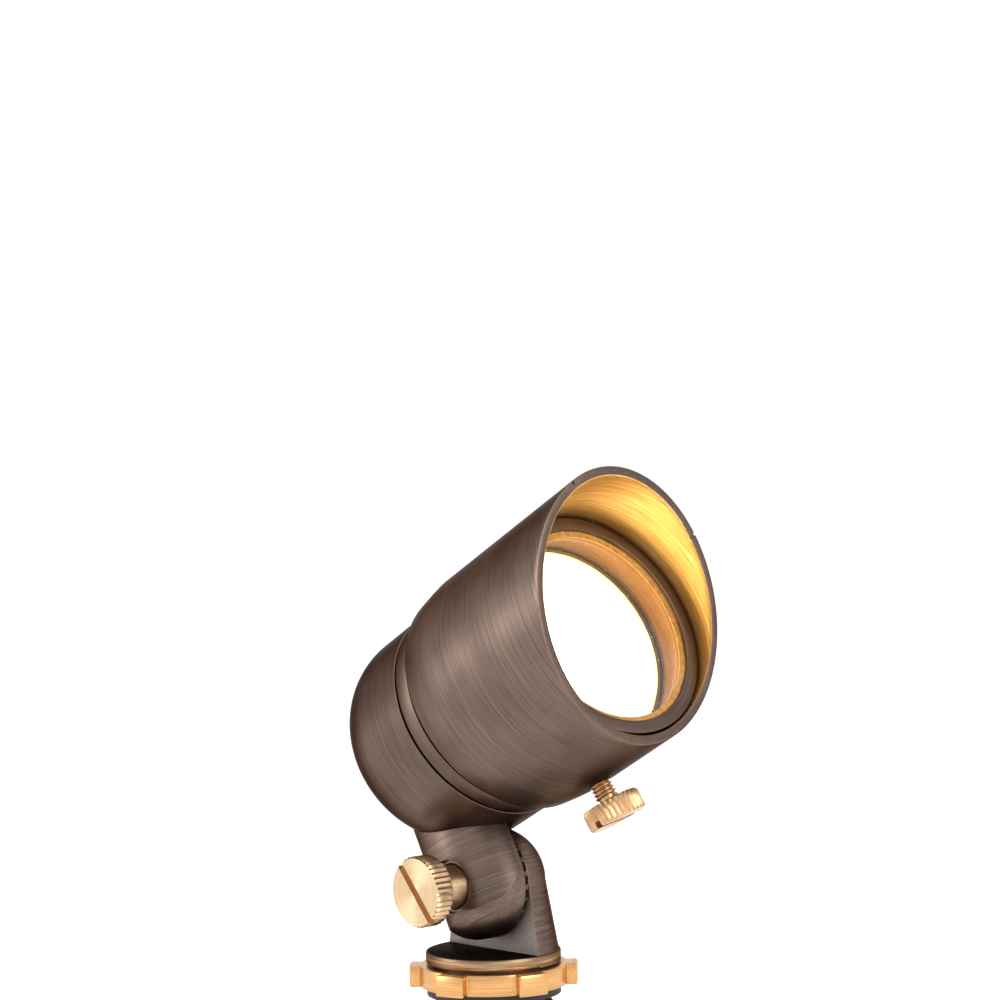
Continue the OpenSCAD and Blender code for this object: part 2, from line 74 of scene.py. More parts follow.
# Places of the sub-assemblies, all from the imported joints
pivot = placeOf("head_tilt")
lampStart = placeOf("barrel_turn")
lampWay = Vector(jointNamed["barrel_turn"]["axis"]).normalized()
headUp = (lampStart - pivot).normalized()
thumbWay = Vector(jointNamed["thumbscrew_turn"]["axis"]).normalized()
footPlace = Matrix.Identity(4)
headPlace = axesAt(pivot, lampWay, headUp)
lampPlace = axesAt(lampStart, -headUp, lampWay)
shroudPlace = axesAt(lampStart, thumbWay, lampWay)
thumbPlace = axesAt(placeOf("thumbscrew_turn"), -lampWay, thumbWay)
boltPlace = axesAt(pivot, Vector((1, 0, 0)), Vector((0, -1, 0)))
axisHeight = (lampStart - pivot).length

# Mesh helpers, all in mm
weld = 0.0005       # corners nearer than this become one
cutNear = 0.0001    # corners this near a cutting plane count as on it
spare = 1           # how far a tool reaches past what it cuts
far = 60            # past the whole head


def turned(outline, steps=160):
    # Solid turned about Z from an outline of (radius, height) points
    bm = bmesh.new()
    points = [bm.verts.new((radius, 0, height)) for radius, height in outline]
    pairs = list(zip(points, points[1:] + points[:1]))
    if outline[0][0] == 0 and outline[-1][0] == 0:
        pairs.pop()
    edges = [bm.edges.new(pair) for pair in pairs]
    bmesh.ops.spin(bm, geom=points + edges, cent=(0, 0, 0), axis=(0, 0, 1), dvec=(0, 0, 0),
                   angle=2 * math.pi, steps=steps, use_merge=True, use_duplicate=False)
    bmesh.ops.remove_doubles(bm, verts=bm.verts, dist=weld)
    bmesh.ops.recalc_face_normals(bm, faces=bm.faces)
    return bm


def arc(centreRadius, centreHeight, radius, start, end, steps=16):
    # Outline points on a circle, from one angle to the other, in degrees
    angles = [math.radians(start + (end - start) * i / steps) for i in range(steps + 1)]
    return [(centreRadius + radius * math.cos(a), centreHeight + radius * math.sin(a)) for a in angles]


def rod(radius, bottom, top, steps=96):
    return turned([(0, bottom), (radius, bottom), (radius, top), (0, top)], steps)


def block(low, high):
    bm = bmesh.new()
    bmesh.ops.create_cube(bm, size=1)
    size = Vector(high) - Vector(low)
    bmesh.ops.scale(bm, vec=size, verts=bm.verts)
    bmesh.ops.translate(bm, vec=(Vector(low) + Vector(high)) / 2, verts=bm.verts)
    return bm


def moved(bm, place):
    bm.transform(place)
    return bm


def turnedBy(degrees, axis):
    return Matrix.Rotation(math.radians(degrees), 4, axis)


def fromAxis(point):
    # How far a point lies from the Z axis
    return math.hypot(point.x, point.y)


def meshOf(bm, name="step"):
    mesh = bpy.data.meshes.new(name)
    bm.to_mesh(mesh)
    bm.free()
    return mesh


def newObject(name, data):
    obj = bpy.data.objects.new(name, data)
    bpy.context.scene.collection.objects.link(obj)
    return obj


def added(base, extra):
    # Both shells in one mesh
    mesh = meshOf(extra)
    base.from_mesh(mesh)
    bpy.data.meshes.remove(mesh)
    return base


def inOrder(items, where):
    # Corners or faces sorted by their place, because the solver gives them in no fixed order
    rank = {item: i for i, item in enumerate(sorted(items, key=where))}
    items.sort(key=lambda item: rank[item])


def combined(base, tool, operation):
    # Boolean of two meshes: UNION, DIFFERENCE or INTERSECT
    steps = [newObject("step", meshOf(bm)) for bm in (base, tool)]
    change = steps[0].modifiers.new("change", "BOOLEAN")
    change.operation = operation
    change.solver = "EXACT"
    change.object = steps[1]
    shape = steps[0].evaluated_get(bpy.context.evaluated_depsgraph_get())
    result = bmesh.new()
    result.from_mesh(shape.to_mesh())
    shape.to_mesh_clear()
    for obj in steps:
        mesh = obj.data
        bpy.data.objects.remove(obj)
        bpy.data.meshes.remove(mesh)
    inOrder(result.verts, lambda vert: vert.co[:])
    inOrder(result.faces, lambda face: face.calc_center_median()[:])
    bmesh.ops.remove_doubles(result, verts=result.verts, dist=weld)
    return result


def planeCut(bm, point, way, opened=False):
    # Edges along a plane, and nothing left beyond it where the piece is to be opened
    cut = bmesh.ops.bisect_plane(bm, geom=bm.verts[:] + bm.edges[:] + bm.faces[:], dist=cutNear,
                                 plane_co=point, plane_no=way, clear_outer=opened)
    return [item for item in cut["geom_cut"] if isinstance(item, bmesh.types.BMEdge)]


def cutOff(bm, point, way):
    # Takes off what lies beyond a plane and closes the cut
    bmesh.ops.holes_fill(bm, edges=planeCut(bm, point, way, opened=True), sides=0)
    bmesh.ops.recalc_face_normals(bm, faces=bm.faces)


def softened(bm, width, angle=30, segments=2):
    # Rounds every edge sharper than the angle and marks the new faces as worn
    if not bm.faces.layers.float.get("wear"):
        bm.faces.layers.float.new("wear")
    edges = [e for e in bm.edges if e.is_manifold and e.calc_face_angle() > math.radians(angle)]
    made = bmesh.ops.bevel(bm, geom=edges, offset=width, offset_type="OFFSET", affect="EDGES",
                           segments=segments, profile=0.5, material=-1, clamp_overlap=True)
    wear = bm.faces.layers.float["wear"]
    for face in made["faces"]:
        face[wear] = 1
    return bm


# Form of a thread's ridge, in pitches
threadForm = {"depth": 0.6, "rootWidth": 0.96, "crestWidth": 0.24}


def threadRoot(radius, pitch):
    return radius - threadForm["depth"] * pitch


def threadRidge(radius, pitch, start, turns, steps=36):
    # One closed helical ridge to lay over a rod of the thread's root
    root = threadRoot(radius, pitch)
    wide, narrow = threadForm["rootWidth"] / 2, threadForm["crestWidth"] / 2
    section = [(root, -wide), (radius, -narrow), (radius, narrow), (root, wide)]
    bm = bmesh.new()
    points = [bm.verts.new((r, 0, start + h * pitch)) for r, h in section]
    edges = [bm.edges.new(pair) for pair in zip(points, points[1:] + points[:1])]
    bmesh.ops.spin(bm, geom=points + edges, cent=(0, 0, 0), axis=(0, 0, 1), dvec=(0, 0, pitch / steps),
                   angle=2 * math.pi * turns, steps=int(steps * turns), use_merge=False, use_duplicate=False)
    bmesh.ops.holes_fill(bm, edges=[e for e in bm.edges if e.is_boundary], sides=0)
    bmesh.ops.recalc_face_normals(bm, faces=bm.faces)
    return bm


def knurledHead(size, bottom):
    # Disc with one ridge for each second column of its side, and both rims taken off
    radius, top, edge = size["headRadius"], bottom + size["headThickness"], size["edge"]
    inner = radius - edge
    valley = 1 - size["knurlDepth"] / radius
    bm = turned([(0, bottom), (inner, bottom), (radius, bottom + edge), (radius, top - edge),
                 (inner, top), (0, top)], steps=2 * size["knurls"])
    for vert in bm.verts:
        column = round(math.atan2(vert.co.y, vert.co.x) * size["knurls"] / math.pi)
        if fromAxis(vert.co) > radius - edge / 2 and column % 2:
            vert.co.x *= valley
            vert.co.y *= valley
    return bm


def slotted(bm, size, top, turn=0):
    # Screwdriver slot across the top of a head
    reach = size["headRadius"] + spare
    slot = block((-size["slotWidth"] / 2, -reach, top - size["slotDepth"]),
                 (size["slotWidth"] / 2, reach, top + spare))
    return combined(bm, moved(slot, turnedBy(turn, "Z")), "DIFFERENCE")


def finished(bm, name, place, body, nodes, materials, sharpAngle=32):
    # The mesh becomes a piece of the scene in metres, riding on its body
    bm.transform(Matrix.Scale(mm, 4) @ place)
    for face in bm.faces:
        face.smooth = True
    for edge in bm.edges:
        edge.smooth = not (edge.is_manifold and edge.calc_face_angle() > math.radians(sharpAngle))
    piece = newObject(name, meshOf(bm, name))
    for material in materials:
        piece.data.materials.append(material)
    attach(piece, body)
    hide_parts(*nodes)


# Material helpers
reliefHeight = 0.02    # in mm, of a relief at full strength


def linear(hexColour):
    # sRGB hex to a linear colour
    channels = [int(hexColour[i:i + 2], 16) / 255 for i in (1, 3, 5)]
    return tuple(c / 12.92 if c <= 0.04045 else ((c + 0.055) / 1.055) ** 2.4 for c in channels) + (1,)


def addNode(tree, kind, inputs=None, **settings):
    node = tree.nodes.new(kind)
    for key, value in settings.items():
        setattr(node, key, value)
    for key, value in (inputs or {}).items():
        if isinstance(value, bpy.types.NodeSocket):
            tree.links.new(value, node.inputs[key])
        else:
            node.inputs[key].default_value = value
    return node


def newMaterial(name, **settings):
    # A material with one Principled shader and the shader's constant values
    material = bpy.data.materials.new(name)
    material.use_nodes = True
    shader = material.node_tree.nodes["Principled BSDF"]
    for key, value in settings.items():
        shader.inputs[key.replace("_", " ")].default_value = value
    return material, material.node_tree, shader


def localPoint(tree, place):
    # Object coordinates in mm in that place's own axes
    inverse = place.inverted()
    coords = addNode(tree, "ShaderNodeTexCoord")
    return addNode(tree, "ShaderNodeMapping", {
        "Vector": coords.outputs["Object"],
        "Location": inverse.translation,
        "Rotation": inverse.to_euler("XYZ"),
        "Scale": (1 / mm, 1 / mm, 1 / mm),
    }).outputs["Vector"]


def flatAndHeight(tree, place):
    # The same point as its part across the place's Z axis and its height along it
    parts = addNode(tree, "ShaderNodeSeparateXYZ", {0: localPoint(tree, place)})
    flat = addNode(tree, "ShaderNodeCombineXYZ", {0: parts.outputs[0], 1: parts.outputs[1]})
    return flat.outputs[0], parts.outputs[2]


def colourStops(tree, level, stops):
    ramp = addNode(tree, "ShaderNodeValToRGB", {0: level})
    elements = ramp.color_ramp.elements
    for i, (position, colour) in enumerate(stops):
        element = elements[i] if i < len(elements) else elements.new(position)
        element.position = position
        element.color = linear(colour)
    return ramp.outputs["Color"]


def mixedColour(tree, share, first, second):
    # From the first colour to the second; they are the Mix node's inputs 6 and 7
    return addNode(tree, "ShaderNodeMix", {0: share, 6: first, 7: second}, data_type="RGBA").outputs[2]


def patchNoise(tree, place, size, detail=2):
    noise = addNode(tree, "ShaderNodeTexNoise", {"Vector": localPoint(tree, place), "Scale": 1 / size,
                                                 "Detail": detail})
    return noise.outputs["Fac"]


def turnedGrain(tree, place, length, width, radius):
    # Noise drawn out round the place's Z axis, in strokes along every face that is turned about it
    flat, height = flatAndHeight(tree, place)
    reach = addNode(tree, "ShaderNodeVectorMath", {0: flat}, operation="LENGTH")
    way = addNode(tree, "ShaderNodeVectorMath", {0: flat}, operation="NORMALIZE")
    around = addNode(tree, "ShaderNodeVectorMath", {0: way.outputs[0], "Scale": radius / length},
                     operation="SCALE")
    along = addNode(tree, "ShaderNodeMath", {0: height, 1: 1 / width}, operation="MULTIPLY")
    rise = addNode(tree, "ShaderNodeCombineXYZ", {2: along.outputs[0]})
    where = addNode(tree, "ShaderNodeVectorMath", {0: around.outputs[0], 1: rise.outputs[0]}, operation="ADD")
    outward = addNode(tree, "ShaderNodeMath", {0: reach.outputs["Value"], 1: 1 / width}, operation="MULTIPLY")
    noise = addNode(tree, "ShaderNodeTexNoise", {"Vector": where.outputs[0], "W": outward.outputs[0],
                                                 "Scale": 1, "Detail": 3, "Roughness": 0.65},
                    noise_dimensions="4D")
    return noise.outputs["Fac"]


def strokes(length, width, radius):
    # Grain of strokes this long at this radius and this wide, in mm
    return lambda tree, place: turnedGrain(tree, place, length, width, radius)


def specks(size, detail):
    # Grain of specks of this size in mm
    return lambda tree, place: patchNoise(tree, place, size, detail)


def reliefOn(tree, shader, height, strength):
    bump = addNode(tree, "ShaderNodeBump", {"Height": height, "Strength": strength,
                                            "Distance": reliefHeight * mm})
    tree.links.new(bump.outputs[0], shader.inputs["Normal"])


def brushedFinish(tree, shader, grain, colour, roughness, relief):
    # Colour, gloss and fine relief that all follow one grain, whose noise seldom leaves 0.3 to 0.7
    tree.links.new(colour, shader.inputs["Base Color"])
    gloss = addNode(tree, "ShaderNodeMapRange", {"Value": grain, "From Min": 0.3, "From Max": 0.7,
                                                 "To Min": roughness[1], "To Max": roughness[0]})
    tree.links.new(gloss.outputs[0], shader.inputs["Roughness"])
    reliefOn(tree, shader, grain, relief)


def agedBronze(name, place, grainOf, stops, worn, edgeTint, roughness, relief, patchSize, patchShare):
    # Brass darkened with an oil-rubbed patina and then brushed: dark brown with warm strokes where the
    # brush went through, patchy over a centimetre and a little paler on the worn edges
    material, tree, shader = newMaterial(name, Metallic=1.0)
    shader.inputs["Specular Tint"].default_value = linear(edgeTint)
    grain = grainOf(tree, place)
    patches = patchNoise(tree, place, patchSize)
    both = addNode(tree, "ShaderNodeMath", {0: patches, 1: patchShare, 2: grain}, operation="MULTIPLY_ADD")
    level = addNode(tree, "ShaderNodeMath", {0: both.outputs[0], 1: 1 / (1 + patchShare)},
                    operation="MULTIPLY")
    patina = colourStops(tree, level.outputs[0], stops)
    wear = addNode(tree, "ShaderNodeAttribute", attribute_name="wear")
    colour = mixedColour(tree, wear.outputs["Fac"], patina, linear(worn))
    brushedFinish(tree, shader, grain, colour, roughness, relief)
    return material


def outwardWay(tree, place):
    # World direction away from the place's Z axis, across the grooves of a turned face
    flat = flatAndHeight(tree, place)[0]
    turn = addNode(tree, "ShaderNodeMapping", {"Vector": flat, "Rotation": place.to_euler("XYZ")},
                   vector_type="VECTOR")
    way = addNode(tree, "ShaderNodeVectorTransform", {0: turn.outputs[0]}, vector_type="VECTOR",
                  convert_from="OBJECT", convert_to="WORLD")
    return way.outputs[0]


def bareBrass(name, place, grainOf, stops, roughness, relief, sheen=0):
    # Machined brass with no patina: yellow metal with the tool's marks left in it. A face turned on a lathe
    # has a sheen that is drawn out across its grooves
    material, tree, shader = newMaterial(name, Metallic=1.0)
    if sheen:
        shader.inputs["Anisotropic"].default_value = sheen
        tree.links.new(outwardWay(tree, place), shader.inputs["Tangent"])
    grain = grainOf(tree, place)
    brushedFinish(tree, shader, grain, colourStops(tree, grain, stops), roughness, relief)
    return material


def mottled(name, place, dark, pale, grit, roughness, **settings):
    # Moulded, fired or rolled material: fine mottling in colour, gloss and relief
    material, tree, shader = newMaterial(name, **settings)
    noise = patchNoise(tree, place, grit, detail=4)
    tree.links.new(colourStops(tree, noise, [(0.35, dark), (0.65, pale)]), shader.inputs["Base Color"])
    gloss = addNode(tree, "ShaderNodeMapRange", {"Value": noise, "To Min": roughness[0],
                                                 "To Max": roughness[1]})
    tree.links.new(gloss.outputs[0], shader.inputs["Roughness"])
    reliefOn(tree, shader, noise, strength=0.25)
    return material


# Patinated castings. The bench brush leaves strokes of 7 to 14 mm, drawn 0.09 mm wide on the shroud and the
# bell and 0.14 mm on the neck and the lug, because the real ones are too fine to show. Colours are from the
# grain's dark valleys to its bright ridges
bronzeLooks = {
    "stops": [(0.36, "#594a44"), (0.5, "#6e5e56"), (0.66, "#887367")],
    "worn": "#7c6655",
    "edgeTint": "#8a8683",
    "roughness": (0.30, 0.42),
    "relief": 0.25,
    "patchSize": 11,
    "patchShare": 0.35,
}


def bronzeOn(name, place, grainOf, **changes):
    return agedBronze(name, place, grainOf, **{**bronzeLooks, **changes})


shroudBronze = bronzeOn("brushedBronzeShroud", lampPlace, strokes(length=14, width=0.09, radius=22))
bellBronze = bronzeOn("brushedBronzeBell", lampPlace, strokes(length=14, width=0.09, radius=20),
                      stops=[(0.36, "#50433e"), (0.5, "#63544d"), (0.66, "#79675e")])
neckBronze = bronzeOn("brushedBronzeNeck", headPlace, strokes(length=8, width=0.14, radius=10))
lugBronze = bronzeOn("brushedBronzeLug", footPlace, strokes(length=7, width=0.14, radius=11))
discPatina = bronzeOn("darkPatinaDisc", footPlace, specks(size=0.5, detail=4),
                      stops=[(0.4, "#332b29"), (0.58, "#463c39"), (0.74, "#6a5c52")],
                      roughness=(0.35, 0.55), relief=0.2)
# Flat toothed face of the lug: satin bronze, painted paler than its own colour as painted light on a face
# that stands in shade
lugFacePaintedLight = bronzeOn("satinBronzeLugFacePaintedLight", footPlace, specks(size=0.3, detail=2),
                         stops=[(0.4, "#7d716d"), (0.5, "#8a7e79"), (0.62, "#988c86")],
                         roughness=(0.42, 0.55), relief=0.08)
# Side of the disc: worn bronze, painted paler as a painted highlight for the bright reflections along it
discEdge = bronzeOn("wornBronzeDiscEdgePaintedHighlight", footPlace, strokes(length=8, width=0.2, radius=12),
                    stops=[(0.36, "#6d5642"), (0.5, "#96785a"), (0.66, "#cda87a")])
# Near black in the groove under the shroud's rear and on the joint's rear face: painted shade for the
# overhang and the joint's gap
paintedGrooveShade = bronzeOn("paintedShadeGroove", lampPlace, specks(size=0.5, detail=4),
                      stops=[(0.4, "#120f0e"), (0.58, "#1d1917"), (0.74, "#2c2521")],
                      roughness=(0.5, 0.65), relief=0.2)

# Machined faces left bare: valleys and ridges of the tool's marks
brassLooks = {
    "pale": [(0.34, "#c6a682"), (0.66, "#dec09a")],
    "yellow": [(0.34, "#c59158"), (0.66, "#e4b278")],
    # The shroud's inside colours are painted paler than the brass, as painted light from the lamp
    "inside": [(0.34, "#d09a48"), (0.66, "#ffd68a")],
    "shaded": [(0.34, "#6a4620"), (0.66, "#9c6e38")],
    "thumb": [(0.34, "#b58a60"), (0.66, "#dcb88c")],
    "sheen": 0.85,
}
barrelInside = bareBrass("turnedBrassBarrelInside", lampPlace, strokes(length=14, width=0.25, radius=18),
                         brassLooks["shaded"], roughness=(0.4, 0.55), relief=0.3)
# Bare brass on the shroud's inside, painted paler as painted light from the lamp's glow, on top of the glow's
# own light
shroudBrassPaintedLight = bareBrass("turnedBrassShroudInsidePaintedLight", lampPlace, strokes(length=14, width=0.25, radius=21),
                        brassLooks["inside"], roughness=(0.38, 0.5), relief=0.3)
boltBrass = bareBrass("turnedBrassBolt", boltPlace, strokes(length=14, width=0.12, radius=6),
                      brassLooks["pale"], roughness=(0.26, 0.36), relief=0.04, sheen=brassLooks["sheen"])
thumbBrass = bareBrass("turnedBrassThumbscrew", thumbPlace, strokes(length=14, width=0.12, radius=5),
                       brassLooks["thumb"], roughness=(0.3, 0.4), relief=0.1, sheen=brassLooks["sheen"])
nutBrass = bareBrass("milledBrassLocknut", footPlace, strokes(length=16, width=0.14, radius=14),
                     brassLooks["yellow"], roughness=(0.26, 0.34), relief=0.1)

# Other materials, each from its dark to its pale colour, with the size of its mottling in mm
steel = mottled("rolledStainlessSteel", lampPlace, "#8f9194", "#b7b9bb", grit=1.2, roughness=(0.25, 0.4),
                Metallic=1.0)
rubber = mottled("mouldedBlackRubber", footPlace, "#191919", "#2b2b2a", grit=0.8, roughness=(0.55, 0.75))
silicone = mottled("extrudedWhiteSilicone", headPlace, "#cfcabd", "#e2ddd1", grit=1.5, roughness=(0.4, 0.55))
amberSilicone = mottled("mouldedAmberSilicone", lampPlace, "#c8862c", "#e8ad52", grit=0.8,
                        roughness=(0.3, 0.45))
ceramic = mottled("firedWhiteCeramic", lampPlace, "#e3ddd0", "#f1ece1", grit=0.6, roughness=(0.35, 0.5))
redNylon = mottled("mouldedRedNylon", headPlace, "#8e2a20", "#aa3a2d", grit=0.8, roughness=(0.35, 0.5))
naturalNylon = mottled("turnedNaturalNylon", shroudPlace, "#ddd8cb", "#eeeae0", grit=0.6,
                       roughness=(0.35, 0.5))
mirrorGlass = mottled("facetedMirrorGlass", lampPlace, "#cfd3d8", "#eceff2", grit=2.0, roughness=(0.05, 0.15),
                      Metallic=1.0)

glassLooks = {"body": "#fffaf0", "dust": "#d8c8a8", "dustPerMm": 0.9, "speckMiddle": 0.05, "speckEdge": 0.14,
              "speckRoughness": 0.45}
litLooks = {"cover": "#ffd98a", "coverMiddle": "#fff1d2", "capsule": "#fff1d2", "capsuleMiddle": "#fff6e4",
            "strength": 3.0, "rimStart": 15.2, "rimEnd": 17.0}


def clearGlass(looks):
    # Pressed borosilicate disc: clear, with a faint warm body and a few specks of dust on it
    material, tree, shader = newMaterial("pressedClearGlass", IOR=1.47)
    shader.inputs["Transmission Weight"].default_value = 1
    dust = addNode(tree, "ShaderNodeTexVoronoi", {"Vector": localPoint(tree, lampPlace),
                                                  "Scale": looks["dustPerMm"]})
    speck = addNode(tree, "ShaderNodeMapRange", {
        "Value": dust.outputs["Distance"], "From Min": looks["speckMiddle"], "From Max": looks["speckEdge"],
        "To Min": looks["speckRoughness"], "To Max": 0.0})
    tree.links.new(speck.outputs[0], shader.inputs["Roughness"])
    tint = mixedColour(tree, speck.outputs[0], linear(looks["body"]), linear(looks["dust"]))
    tree.links.new(tint, shader.inputs["Base Color"])
    return material


def litGlass(name, rim, middle, looks):
    # Prismed cover glass lit from behind: warm at the rim and blown out in the middle
    material, tree, shader = newMaterial(name, IOR=1.5, Roughness=0.35)
    flat = flatAndHeight(tree, lampPlace)[0]
    reach = addNode(tree, "ShaderNodeVectorMath", {0: flat}, operation="LENGTH")
    edge = addNode(tree, "ShaderNodeMapRange", {"Value": reach.outputs["Value"],
                                                "From Min": looks["rimStart"], "From Max": looks["rimEnd"]})
    colour = mixedColour(tree, edge.outputs[0], linear(looks[middle]), linear(looks[rim]))
    tree.links.new(colour, shader.inputs["Emission Color"])
    tree.links.new(colour, shader.inputs["Base Color"])
    shader.inputs["Emission Strength"].default_value = looks["strength"]
    return material


glass = clearGlass(glassLooks)
coverGlow = litGlass("litCoverGlass", "cover", "coverMiddle", litLooks)
capsuleGlow = litGlass("litQuartzCapsule", "capsule", "capsuleMiddle", litLooks)
print("materials: done")

# Sizes are in mm and turns in degrees. In the dictionaries, near is how far off a face may lie and still
# count as on a surface, facing how squarely it must look that way, and overlap how far two blanks share room

# Shroud: a tube with a slanted front and two nicks in its rim, tapered at its rear in two steps
shroudSize = {"boreRadius": 20.75, "radius": 22.3, "rearRadius": 21.55, "rear": 19.8, "taper": 6.2,
              "taperBend": 0.6, "bendDrop": 0.25, "top": 63.2, "slant": 19.5, "rimRound": 0.14,
              "rimLoop": 1, "screwLoop": 3, "nickWidth": 0.5, "nickDepth": 0.35, "nickTurns": (-162.5, 110.4),
              "ringPlace": 34.3, "ringWidth": 1.6, "ringDepth": 0.5, "screwPlace": 29.9, "screwRadius": 2.05,
              "boreNear": 0.1, "facing": 0.5}


def makeShroud(size):
    bore, radius, rear = size["boreRadius"], size["radius"], size["rear"]
    groove = bore + size["ringDepth"]
    ringStart, ringEnd = size["ringPlace"], size["ringPlace"] + size["ringWidth"]
    bm = turned([(bore, rear), (size["rearRadius"], rear),
                 (radius - size["bendDrop"], rear + size["taperBend"] * size["taper"]),
                 (radius, rear + size["taper"]), (radius, size["top"] + spare), (bore, size["top"] + spare),
                 (bore, ringEnd), (groove, ringEnd), (groove, ringStart), (bore, ringStart)], steps=192)
    slant = math.radians(size["slant"])
    slantWay = Vector((math.sin(slant), 0, math.cos(slant)))
    rimMiddle = Vector((0, 0, size["top"] - radius * math.tan(slant)))
    bmesh.ops.bridge_loops(bm, edges=planeCut(bm, rimMiddle, slantWay, opened=True))
    bmesh.ops.recalc_face_normals(bm, faces=bm.faces)
    softened(bm, size["rimRound"])
    # Loops near the rim and the screw, so that the corners of these cuts don't streak the long faces
    along = Vector((0, 0, 1))
    screw = along * size["screwPlace"]
    planeCut(bm, rimMiddle - size["rimLoop"] * slantWay, slantWay)
    planeCut(bm, screw - size["screwLoop"] * along, along)
    planeCut(bm, screw + size["screwLoop"] * along, along)
    for turn in size["nickTurns"]:
        rim = size["top"] - radius * math.tan(slant) * (1 + math.cos(math.radians(turn)))
        nick = block((bore - spare, -size["nickWidth"] / 2, rim - size["nickDepth"]),
                     (radius + spare, size["nickWidth"] / 2, rim + 2 * spare))
        bm = combined(bm, moved(nick, turnedBy(turn, "Z")), "DIFFERENCE")
    hole = rod(size["screwRadius"], bore - 2 * spare, radius + 2 * spare, steps=48)
    across = Matrix.Translation(screw) @ turnedBy(90, "Y")
    bm = combined(bm, moved(hole, across), "DIFFERENCE")
    for face in bm.faces:
        middle = face.calc_center_median()
        reach = fromAxis(middle)
        inward = face.normal.x * middle.x + face.normal.y * middle.y < -size["facing"] * reach
        face.material_index = 1 if inward and reach < bore + size["boreNear"] else 0
    finished(bm, "shroud_tube", shroudPlace, "shroud", ["shroud"],
             [shroudBronze, shroudBrassPaintedLight])


makeShroud(shroudSize)
print("shroud: done")

# Barrel: collar, tube and the seat of the lens, on a spigot that screws into the bell
barrelSize = {"joint": 15, "spigotLength": 6, "spigotInner": 17.75, "spigotRadius": 18.55,
              "collarRadius": 20.1, "grooveStart": 18.0, "grooveRadius": 19.3, "grooveNear": 0.2,
              "tubeStart": 20.0, "radius": 20.3, "slope": 0.1, "bore": 18.05, "boreNear": 0.05, "front": 48.2,
              "lip": 46.4, "lipRadius": 16.85, "lipBack": 45.4, "coneEnd": 43.2, "edgeRound": 0.1}


def makeBarrel(size):
    joint, front = size["joint"], size["front"]
    inner, spigot, spigotEnd = size["spigotInner"], size["spigotRadius"], joint - size["spigotLength"]
    groove, grooveStart, tubeStart = size["grooveRadius"], size["grooveStart"], size["tubeStart"]
    bm = turned([(inner, spigotEnd), (spigot, spigotEnd), (spigot, joint),
                 (size["collarRadius"], joint), (size["collarRadius"], grooveStart),
                 (groove, grooveStart + size["slope"]), (groove, tubeStart),
                 (size["radius"], tubeStart + size["slope"]), (size["radius"], front),
                 (size["bore"], front), (size["bore"], size["lip"]), (size["lipRadius"], size["lip"]),
                 (size["lipRadius"], size["lipBack"]), (inner, size["coneEnd"])])
    softened(bm, size["edgeRound"])
    for face in bm.faces:
        middle = face.calc_center_median()
        reach = fromAxis(middle)
        # The rear face at the joint is as near the groove's radius, and gets the same painted shade
        inGroove = abs(reach - groove) < size["grooveNear"] or grooveStart < middle.z < tubeStart
        if reach < size["bore"] + size["boreNear"] and middle.z > joint:
            face.material_index = 1
        elif inGroove and middle.z < size["lip"]:
            face.material_index = 2
    finished(bm, "barrel_tube", lampPlace, "barrel", ["front_barrel"],
             [bellBronze, barrelInside, paintedGrooveShade])


makeBarrel(barrelSize)

# Lens: a pressed disc with a rounded front edge
lensSize = {"radius": 18.0, "back": 46.8, "front": 48.0, "edgeRound": 0.3}


def makeLens(size):
    bm = rod(size["radius"], size["back"], size["front"], steps=160)
    softened(bm, size["edgeRound"], segments=4)
    finished(bm, "lens_disc", lampPlace, "barrel", ["lens"], [glass])


makeLens(lensSize)
print("barrel and lens: done")

# Head casting: the bell and the neck in one, with the knuckle's half round, its teeth and the bolt's seat
castingSize = {"bellRadius": 20.1, "bellNear": 0.3, "rearRadius": 20.0, "round": 14, "start": 4.5,
               "front": 14.45, "wall": 2.4, "boreRadius": 18.6, "boreStart": 8.6, "boreOverlap": 0.2,
               "ringGroove": 0.7, "ringLength": 1.1, "cavityFloor": 11.3, "knuckleRadius": 10,
               "knuckleRound": 6, "neckTop": 13, "faceGap": 1.1, "relief": 10, "pocketRadius": 5.4,
               "pocketDepth": 4.5, "seatRadius": 4.1, "seatDepth": 6, "spotFace": 9.1, "spotRadius": 4.7,
               "spotEnd": 12, "boltHole": 3.25, "edgeRound": 0.12, "sharpAngle": 12}
teethSize = {"count": 24, "height": 0.5, "inner": 6.2, "outer": 9.5, "root": 0.2, "rootShare": 0.62,
             "crestShare": 1 / 3, "edgeRound": 0.06}


def toothRing(size):
    # Radial teeth standing up from Z = 0
    bm = bmesh.new()
    halfWidth = size["rootShare"] * math.pi * size["outer"] / size["count"]
    for i in range(size["count"]):
        tooth = block((size["inner"], -halfWidth, -size["root"]), (size["outer"], halfWidth, size["height"]))
        for vert in tooth.verts:
            if vert.co.z > 0:
                vert.co.y *= size["crestShare"]
        softened(tooth, size["edgeRound"], segments=1)
        added(bm, moved(tooth, turnedBy(360 * i / size["count"], "Z")))
    return bm


def bellBlank(size):
    # Solid bell with its rounded rear
    centre = size["rearRadius"] - size["round"]
    rear = (0, size["start"] - size["round"])
    side = arc(centre, size["start"], size["round"], -90, 0, steps=24)
    bell = turned([rear] + side + [(size["bellRadius"], size["front"]), (0, size["front"])], steps=176)
    return softened(bell, size["edgeRound"])


